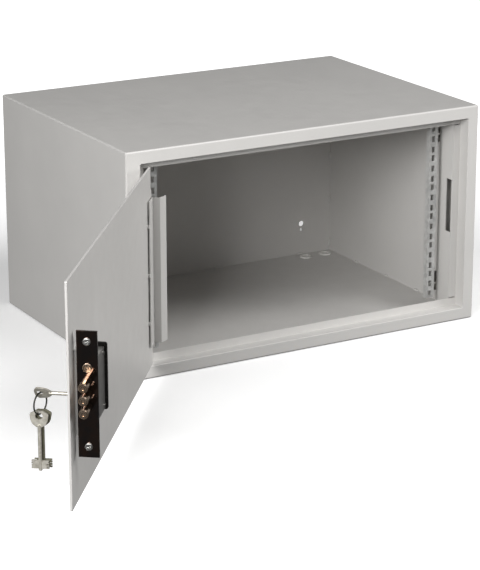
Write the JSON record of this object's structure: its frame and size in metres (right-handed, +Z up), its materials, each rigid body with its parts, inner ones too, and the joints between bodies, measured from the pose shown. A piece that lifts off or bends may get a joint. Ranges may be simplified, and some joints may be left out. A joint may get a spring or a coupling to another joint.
{
  "type": "wall-mount rack cabinet",
  "caption": "Anti-vandal wall cabinet for 19-inch equipment: folded steel box, recessed door standing open, multi-bolt lock, keys on a ring.",
  "frame": {"origin": "centre of the casing's base", "axes": "+X to the right seen from the front, +Y towards the wall, +Z up"},
  "size_m": [0.87, 0.8308, 0.326],
  "materials": {
    "powder_coat": "light warm grey powder coat, fine texture, satin",
    "galvanised": "zinc plated, spangled, dull",
    "bright_zinc": "bright zinc plate",
    "forend_plate": "polished plate, mirror bright",
    "bolt_brass": "turned, nickel-washed, bright",
    "lock_steel": "satin steel",
    "dark_steel": "blackened",
    "key_nickel": "nickel plated, fine cast texture",
    "plug_plastic": "light grey moulded plastic, satin",
    "ring_steel": "dark oiled spring steel"
  },
  "bodies": {
    "cabinet": {"top_panel": "powder_coat", "bottom_panel": "powder_coat", "left_side_panel": "powder_coat", "right_side_panel": "powder_coat", "back_panel": "powder_coat", "strike_channel": "powder_coat", "cable_entry_plugs": "plug_plastic", "left_rail": "galvanised", "right_rail": "galvanised", "left_rail_lower_bracket": "powder_coat", "left_rail_upper_bracket": "powder_coat", "right_rail_lower_bracket": "powder_coat", "right_rail_upper_bracket": "powder_coat", "left_rail_screws": "bright_zinc", "right_rail_screws": "bright_zinc", "left_rail_nuts": "bright_zinc", "right_rail_nuts": "bright_zinc", "lower_hinge_frame_half": "powder_coat", "upper_hinge_frame_half": "powder_coat", "lower_hinge_pin": "bright_zinc", "upper_hinge_pin": "bright_zinc", "lower_hinge_washer": "bright_zinc", "upper_hinge_washer": "bright_zinc"},
    "door": {"door_plate": "powder_coat", "anti_pry_strip": "powder_coat", "strip_tack_welds": "powder_coat", "lower_hinge_door_half": "powder_coat", "upper_hinge_door_half": "powder_coat", "lock_base_plate": "powder_coat", "lock_forend": "forend_plate", "blank_bolt_bush": "bolt_brass", "forend_backing_plate": "lock_steel", "forend_screws": "bright_zinc", "lock_case": "lock_steel", "lock_cover": "lock_steel", "lock_cover_screws": "bright_zinc", "lock_rear_plate": "dark_steel", "lock_levers": "lock_steel", "lever_post": "lock_steel", "keyhole_escutcheon": "lock_steel"},
    "bolts": {"lower_lock_bolt": "bolt_brass", "middle_lock_bolt": "bolt_brass", "upper_lock_bolt": "bolt_brass", "bolt_carriage": "lock_steel"},
    "key": {"fitted_key": "key_nickel"},
    "ring": {"key_ring": "ring_steel"},
    "near_spare": {"near_spare_key": "key_nickel"},
    "far_spare": {"far_spare_key": "key_nickel"}
  },
  "joints": [
    {"name": "door_swing", "type": "hinge", "parent": "cabinet", "child": "door", "pos_m": [-0.2535, -0.197, 0.163], "axis": [0, 0, 1], "range_deg": [-22.1, 127.9]},
    {"name": "bolt_throw", "type": "slide", "parent": "door", "child": "bolts", "axis": [0.6143, 0.7891, 0], "range_m": [0, 0.024]},
    {"name": "key_turn", "type": "hinge", "parent": "door", "child": "key", "pos_m": [-0.53248, -0.56024, 0.1448], "axis": [-0.7891, 0.6143, 0], "range_deg": [0, 720]},
    {"name": "ring_swing", "type": "hinge", "parent": "key", "child": "ring", "pos_m": [-0.56948, -0.53143, 0.1446], "axis": [-0.6143, -0.7891, 0], "range_deg": [-10, 10]},
    {"name": "near_spare_swing", "type": "hinge", "parent": "ring", "child": "near_spare", "pos_m": [-0.57227, -0.53311, 0.11861], "axis": [-0.6143, -0.7891, 0], "range_deg": [-10, 10]},
    {"name": "far_spare_swing", "type": "hinge", "parent": "ring", "child": "far_spare", "pos_m": [-0.5667, -0.52975, 0.11861], "axis": [-0.6143, -0.7891, 0], "range_deg": [-10, 10]}
  ],
  "couplings": [
    {"joint": "bolt_throw", "follows": "key_turn", "m_per_rad": 0.0019097}
  ]
}
